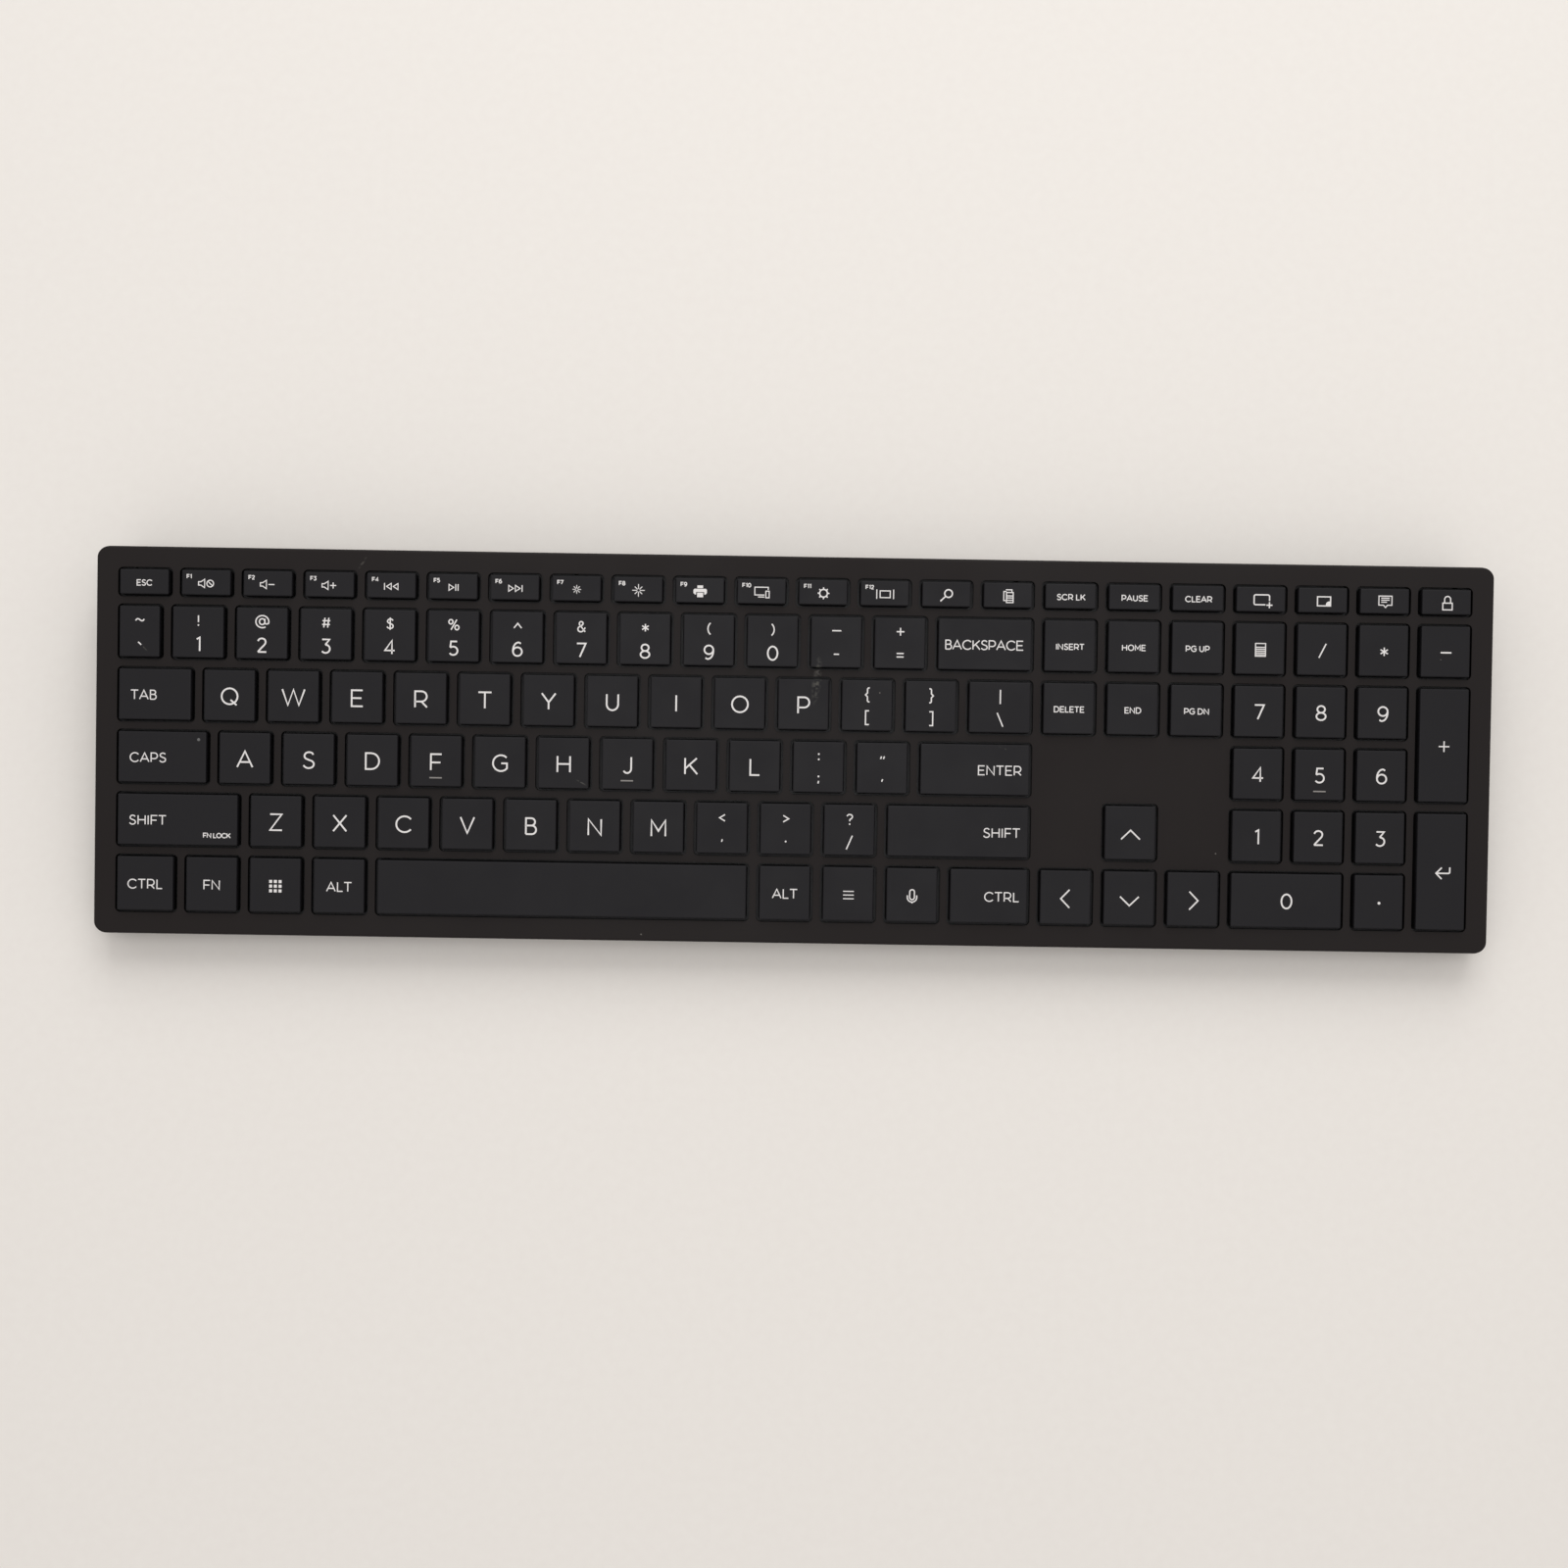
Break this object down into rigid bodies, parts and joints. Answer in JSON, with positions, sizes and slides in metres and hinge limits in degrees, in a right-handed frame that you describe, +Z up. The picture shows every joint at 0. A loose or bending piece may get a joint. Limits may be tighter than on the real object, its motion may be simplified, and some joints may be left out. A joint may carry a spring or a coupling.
{
  "type": "wireless keyboard",
  "caption": "Full-size wireless keyboard with low flat keys in separate deck windows, a number pad, a sloping deck and a battery door underneath.",
  "frame": {"origin": "middle of the keyboard's footprint on the desk, at the underside of the feet", "axes": "+X to the typist's right, along the rows; +Y from the typist to the rear edge; +Z up"},
  "size_m": [0.4172, 0.117, 0.0246],
  "materials": {
    "key_plastic": "fine matte",
    "case_plastic": "fine matte",
    "inner_plastic": "plain moulded",
    "slider_plastic": "ribbed",
    "lens": "clear",
    "dome_rubber": "silicone",
    "foot_rubber": "matte",
    "printed_film": "film",
    "circuit_board": "solder mask",
    "plated_steel": "zinc plated",
    "spring_steel": "drawn",
    "battery_can": "plain sleeve"
  },
  "bodies": {
    "housing": {"top_case": "case_plastic", "key_frame": "inner_plastic", "bottom_case": "case_plastic", "batteries": "battery_can", "battery_contacts": "plated_steel", "circuit_board": "circuit_board", "membrane": "printed_film", "dome_sheet": "dome_rubber", "support_plate": "plated_steel", "rubber_feet": "foot_rubber", "screws": "plated_steel"},
    "space_wire": {"space_wire": "spring_steel"},
    "battery_door": {"battery_door": "case_plastic"},
    "power_slider": {"power_slider": "slider_plastic"},
    "key_space": {"key_space": "key_plastic"},
    "key_enter": {"key_enter": "key_plastic"},
    "key_backspace": {"key_backspace": "key_plastic"},
    "key_tab": {"key_tab": "key_plastic"},
    "key_caps": {"key_caps": "key_plastic", "caps_lens": "lens"},
    "key_left_shift": {"key_left_shift": "key_plastic"},
    "key_right_shift": {"key_right_shift": "key_plastic"},
    "number_row_keys": {"number_row_keys": "key_plastic"},
    "punctuation_keys": {"punctuation_keys": "key_plastic"},
    "function_keys": {"function_keys": "key_plastic"},
    "system_keys": {"system_keys": "key_plastic"},
    "pad_icon_keys": {"pad_icon_keys": "key_plastic"},
    "left_modifier_keys": {"left_modifier_keys": "key_plastic"},
    "right_modifier_keys": {"right_modifier_keys": "key_plastic"},
    "navigation_keys": {"navigation_keys": "key_plastic"},
    "arrow_keys": {"arrow_keys": "key_plastic"},
    "pad_operator_keys": {"pad_operator_keys": "key_plastic"},
    "pad_number_keys": {"pad_number_keys": "key_plastic"},
    "pad_tall_keys": {"pad_tall_keys": "key_plastic"},
    "key_q": {"key_q": "key_plastic"},
    "key_w": {"key_w": "key_plastic"},
    "key_e": {"key_e": "key_plastic"},
    "key_r": {"key_r": "key_plastic"},
    "key_t": {"key_t": "key_plastic"},
    "key_y": {"key_y": "key_plastic"},
    "key_u": {"key_u": "key_plastic"},
    "key_i": {"key_i": "key_plastic"},
    "key_o": {"key_o": "key_plastic"},
    "key_p": {"key_p": "key_plastic"},
    "key_a": {"key_a": "key_plastic"},
    "key_s": {"key_s": "key_plastic"},
    "key_d": {"key_d": "key_plastic"},
    "key_f": {"key_f": "key_plastic"},
    "key_g": {"key_g": "key_plastic"},
    "key_h": {"key_h": "key_plastic"},
    "key_j": {"key_j": "key_plastic"},
    "key_k": {"key_k": "key_plastic"},
    "key_l": {"key_l": "key_plastic"},
    "key_z": {"key_z": "key_plastic"},
    "key_x": {"key_x": "key_plastic"},
    "key_c": {"key_c": "key_plastic"},
    "key_v": {"key_v": "key_plastic"},
    "key_b": {"key_b": "key_plastic"},
    "key_n": {"key_n": "key_plastic"},
    "key_m": {"key_m": "key_plastic"}
  },
  "joints": [
    {"name": "key_space_travel", "type": "slide", "parent": "housing", "child": "key_space", "axis": [0, 0.1045, -0.9945], "range_m": [0, 0.0018], "stiffness_N_per_m": 250, "springref_m": -0.0006, "deforming": ["dome_sheet"]},
    {"name": "space_wire_turn", "type": "hinge", "parent": "housing", "child": "space_wire", "pos_m": [-0.06857, -0.04856, 0.01028], "axis": [-1, 0, 0], "range_deg": [0, 11.27]},
    {"name": "battery_door_slide", "type": "slide", "parent": "housing", "child": "battery_door", "axis": [0, 1, 0], "range_m": [0, 0.024]},
    {"name": "power_switch_slide", "type": "slide", "parent": "housing", "child": "power_slider", "axis": [1, 0, 0], "range_m": [0, 0.003]},
    {"name": "key_enter_travel", "type": "slide", "parent": "housing", "child": "key_enter", "axis": [0, 0.1045, -0.9945], "range_m": [0, 0.0018], "stiffness_N_per_m": 250, "springref_m": -0.0006, "deforming": ["dome_sheet"]},
    {"name": "key_backspace_travel", "type": "slide", "parent": "housing", "child": "key_backspace", "axis": [0, 0.1045, -0.9945], "range_m": [0, 0.0018], "stiffness_N_per_m": 250, "springref_m": -0.0006, "deforming": ["dome_sheet"]},
    {"name": "key_tab_travel", "type": "slide", "parent": "housing", "child": "key_tab", "axis": [0, 0.1045, -0.9945], "range_m": [0, 0.0018], "stiffness_N_per_m": 250, "springref_m": -0.0006, "deforming": ["dome_sheet"]},
    {"name": "key_caps_travel", "type": "slide", "parent": "housing", "child": "key_caps", "axis": [0, 0.1045, -0.9945], "range_m": [0, 0.0018], "stiffness_N_per_m": 250, "springref_m": -0.0006, "deforming": ["dome_sheet"]},
    {"name": "key_left_shift_travel", "type": "slide", "parent": "housing", "child": "key_left_shift", "axis": [0, 0.1045, -0.9945], "range_m": [0, 0.0018], "stiffness_N_per_m": 250, "springref_m": -0.0006, "deforming": ["dome_sheet"]},
    {"name": "key_right_shift_travel", "type": "slide", "parent": "housing", "child": "key_right_shift", "axis": [0, 0.1045, -0.9945], "range_m": [0, 0.0018], "stiffness_N_per_m": 250, "springref_m": -0.0006, "deforming": ["dome_sheet"]},
    {"name": "number_row_keys_travel", "type": "slide", "parent": "housing", "child": "number_row_keys", "axis": [0, 0.1045, -0.9945], "range_m": [0, 0.0018], "stiffness_N_per_m": 3250, "springref_m": -0.0006, "deforming": ["dome_sheet"]},
    {"name": "punctuation_keys_travel", "type": "slide", "parent": "housing", "child": "punctuation_keys", "axis": [0, 0.1045, -0.9945], "range_m": [0, 0.0018], "stiffness_N_per_m": 2000, "springref_m": -0.0006, "deforming": ["dome_sheet"]},
    {"name": "function_keys_travel", "type": "slide", "parent": "housing", "child": "function_keys", "axis": [0, 0.1045, -0.9945], "range_m": [0, 0.0018], "stiffness_N_per_m": 3750, "springref_m": -0.0006, "deforming": ["dome_sheet"]},
    {"name": "system_keys_travel", "type": "slide", "parent": "housing", "child": "system_keys", "axis": [0, 0.1045, -0.9945], "range_m": [0, 0.0018], "stiffness_N_per_m": 750, "springref_m": -0.0006, "deforming": ["dome_sheet"]},
    {"name": "pad_icon_keys_travel", "type": "slide", "parent": "housing", "child": "pad_icon_keys", "axis": [0, 0.1045, -0.9945], "range_m": [0, 0.0018], "stiffness_N_per_m": 1000, "springref_m": -0.0006, "deforming": ["dome_sheet"]},
    {"name": "left_modifier_keys_travel", "type": "slide", "parent": "housing", "child": "left_modifier_keys", "axis": [0, 0.1045, -0.9945], "range_m": [0, 0.0018], "stiffness_N_per_m": 1000, "springref_m": -0.0006, "deforming": ["dome_sheet"]},
    {"name": "right_modifier_keys_travel", "type": "slide", "parent": "housing", "child": "right_modifier_keys", "axis": [0, 0.1045, -0.9945], "range_m": [0, 0.0018], "stiffness_N_per_m": 1000, "springref_m": -0.0006, "deforming": ["dome_sheet"]},
    {"name": "navigation_keys_travel", "type": "slide", "parent": "housing", "child": "navigation_keys", "axis": [0, 0.1045, -0.9945], "range_m": [0, 0.0018], "stiffness_N_per_m": 1500, "springref_m": -0.0006, "deforming": ["dome_sheet"]},
    {"name": "arrow_keys_travel", "type": "slide", "parent": "housing", "child": "arrow_keys", "axis": [0, 0.1045, -0.9945], "range_m": [0, 0.0018], "stiffness_N_per_m": 1000, "springref_m": -0.0006, "deforming": ["dome_sheet"]},
    {"name": "pad_operator_keys_travel", "type": "slide", "parent": "housing", "child": "pad_operator_keys", "axis": [0, 0.1045, -0.9945], "range_m": [0, 0.0018], "stiffness_N_per_m": 1000, "springref_m": -0.0006, "deforming": ["dome_sheet"]},
    {"name": "pad_number_keys_travel", "type": "slide", "parent": "housing", "child": "pad_number_keys", "axis": [0, 0.1045, -0.9945], "range_m": [0, 0.0018], "stiffness_N_per_m": 2750, "springref_m": -0.0006, "deforming": ["dome_sheet"]},
    {"name": "pad_tall_keys_travel", "type": "slide", "parent": "housing", "child": "pad_tall_keys", "axis": [0, 0.1045, -0.9945], "range_m": [0, 0.0018], "stiffness_N_per_m": 500, "springref_m": -0.0006, "deforming": ["dome_sheet"]},
    {"name": "key_q_travel", "type": "slide", "parent": "housing", "child": "key_q", "axis": [0, 0.1045, -0.9945], "range_m": [0, 0.0018], "stiffness_N_per_m": 250, "springref_m": -0.0006, "deforming": ["dome_sheet"]},
    {"name": "key_w_travel", "type": "slide", "parent": "housing", "child": "key_w", "axis": [0, 0.1045, -0.9945], "range_m": [0, 0.0018], "stiffness_N_per_m": 250, "springref_m": -0.0006, "deforming": ["dome_sheet"]},
    {"name": "key_e_travel", "type": "slide", "parent": "housing", "child": "key_e", "axis": [0, 0.1045, -0.9945], "range_m": [0, 0.0018], "stiffness_N_per_m": 250, "springref_m": -0.0006, "deforming": ["dome_sheet"]},
    {"name": "key_r_travel", "type": "slide", "parent": "housing", "child": "key_r", "axis": [0, 0.1045, -0.9945], "range_m": [0, 0.0018], "stiffness_N_per_m": 250, "springref_m": -0.0006, "deforming": ["dome_sheet"]},
    {"name": "key_t_travel", "type": "slide", "parent": "housing", "child": "key_t", "axis": [0, 0.1045, -0.9945], "range_m": [0, 0.0018], "stiffness_N_per_m": 250, "springref_m": -0.0006, "deforming": ["dome_sheet"]},
    {"name": "key_y_travel", "type": "slide", "parent": "housing", "child": "key_y", "axis": [0, 0.1045, -0.9945], "range_m": [0, 0.0018], "stiffness_N_per_m": 250, "springref_m": -0.0006, "deforming": ["dome_sheet"]},
    {"name": "key_u_travel", "type": "slide", "parent": "housing", "child": "key_u", "axis": [0, 0.1045, -0.9945], "range_m": [0, 0.0018], "stiffness_N_per_m": 250, "springref_m": -0.0006, "deforming": ["dome_sheet"]},
    {"name": "key_i_travel", "type": "slide", "parent": "housing", "child": "key_i", "axis": [0, 0.1045, -0.9945], "range_m": [0, 0.0018], "stiffness_N_per_m": 250, "springref_m": -0.0006, "deforming": ["dome_sheet"]},
    {"name": "key_o_travel", "type": "slide", "parent": "housing", "child": "key_o", "axis": [0, 0.1045, -0.9945], "range_m": [0, 0.0018], "stiffness_N_per_m": 250, "springref_m": -0.0006, "deforming": ["dome_sheet"]},
    {"name": "key_p_travel", "type": "slide", "parent": "housing", "child": "key_p", "axis": [0, 0.1045, -0.9945], "range_m": [0, 0.0018], "stiffness_N_per_m": 250, "springref_m": -0.0006, "deforming": ["dome_sheet"]},
    {"name": "key_a_travel", "type": "slide", "parent": "housing", "child": "key_a", "axis": [0, 0.1045, -0.9945], "range_m": [0, 0.0018], "stiffness_N_per_m": 250, "springref_m": -0.0006, "deforming": ["dome_sheet"]},
    {"name": "key_s_travel", "type": "slide", "parent": "housing", "child": "key_s", "axis": [0, 0.1045, -0.9945], "range_m": [0, 0.0018], "stiffness_N_per_m": 250, "springref_m": -0.0006, "deforming": ["dome_sheet"]},
    {"name": "key_d_travel", "type": "slide", "parent": "housing", "child": "key_d", "axis": [0, 0.1045, -0.9945], "range_m": [0, 0.0018], "stiffness_N_per_m": 250, "springref_m": -0.0006, "deforming": ["dome_sheet"]},
    {"name": "key_f_travel", "type": "slide", "parent": "housing", "child": "key_f", "axis": [0, 0.1045, -0.9945], "range_m": [0, 0.0018], "stiffness_N_per_m": 250, "springref_m": -0.0006, "deforming": ["dome_sheet"]},
    {"name": "key_g_travel", "type": "slide", "parent": "housing", "child": "key_g", "axis": [0, 0.1045, -0.9945], "range_m": [0, 0.0018], "stiffness_N_per_m": 250, "springref_m": -0.0006, "deforming": ["dome_sheet"]},
    {"name": "key_h_travel", "type": "slide", "parent": "housing", "child": "key_h", "axis": [0, 0.1045, -0.9945], "range_m": [0, 0.0018], "stiffness_N_per_m": 250, "springref_m": -0.0006, "deforming": ["dome_sheet"]},
    {"name": "key_j_travel", "type": "slide", "parent": "housing", "child": "key_j", "axis": [0, 0.1045, -0.9945], "range_m": [0, 0.0018], "stiffness_N_per_m": 250, "springref_m": -0.0006, "deforming": ["dome_sheet"]},
    {"name": "key_k_travel", "type": "slide", "parent": "housing", "child": "key_k", "axis": [0, 0.1045, -0.9945], "range_m": [0, 0.0018], "stiffness_N_per_m": 250, "springref_m": -0.0006, "deforming": ["dome_sheet"]},
    {"name": "key_l_travel", "type": "slide", "parent": "housing", "child": "key_l", "axis": [0, 0.1045, -0.9945], "range_m": [0, 0.0018], "stiffness_N_per_m": 250, "springref_m": -0.0006, "deforming": ["dome_sheet"]},
    {"name": "key_z_travel", "type": "slide", "parent": "housing", "child": "key_z", "axis": [0, 0.1045, -0.9945], "range_m": [0, 0.0018], "stiffness_N_per_m": 250, "springref_m": -0.0006, "deforming": ["dome_sheet"]},
    {"name": "key_x_travel", "type": "slide", "parent": "housing", "child": "key_x", "axis": [0, 0.1045, -0.9945], "range_m": [0, 0.0018], "stiffness_N_per_m": 250, "springref_m": -0.0006, "deforming": ["dome_sheet"]},
    {"name": "key_c_travel", "type": "slide", "parent": "housing", "child": "key_c", "axis": [0, 0.1045, -0.9945], "range_m": [0, 0.0018], "stiffness_N_per_m": 250, "springref_m": -0.0006, "deforming": ["dome_sheet"]},
    {"name": "key_v_travel", "type": "slide", "parent": "housing", "child": "key_v", "axis": [0, 0.1045, -0.9945], "range_m": [0, 0.0018], "stiffness_N_per_m": 250, "springref_m": -0.0006, "deforming": ["dome_sheet"]},
    {"name": "key_b_travel", "type": "slide", "parent": "housing", "child": "key_b", "axis": [0, 0.1045, -0.9945], "range_m": [0, 0.0018], "stiffness_N_per_m": 250, "springref_m": -0.0006, "deforming": ["dome_sheet"]},
    {"name": "key_n_travel", "type": "slide", "parent": "housing", "child": "key_n", "axis": [0, 0.1045, -0.9945], "range_m": [0, 0.0018], "stiffness_N_per_m": 250, "springref_m": -0.0006, "deforming": ["dome_sheet"]},
    {"name": "key_m_travel", "type": "slide", "parent": "housing", "child": "key_m", "axis": [0, 0.1045, -0.9945], "range_m": [0, 0.0018], "stiffness_N_per_m": 250, "springref_m": -0.0006, "deforming": ["dome_sheet"]}
  ],
  "couplings": [
    {"joint": "space_wire_turn", "follows": "key_space_travel", "rad_per_m": 109.2}
  ]
}
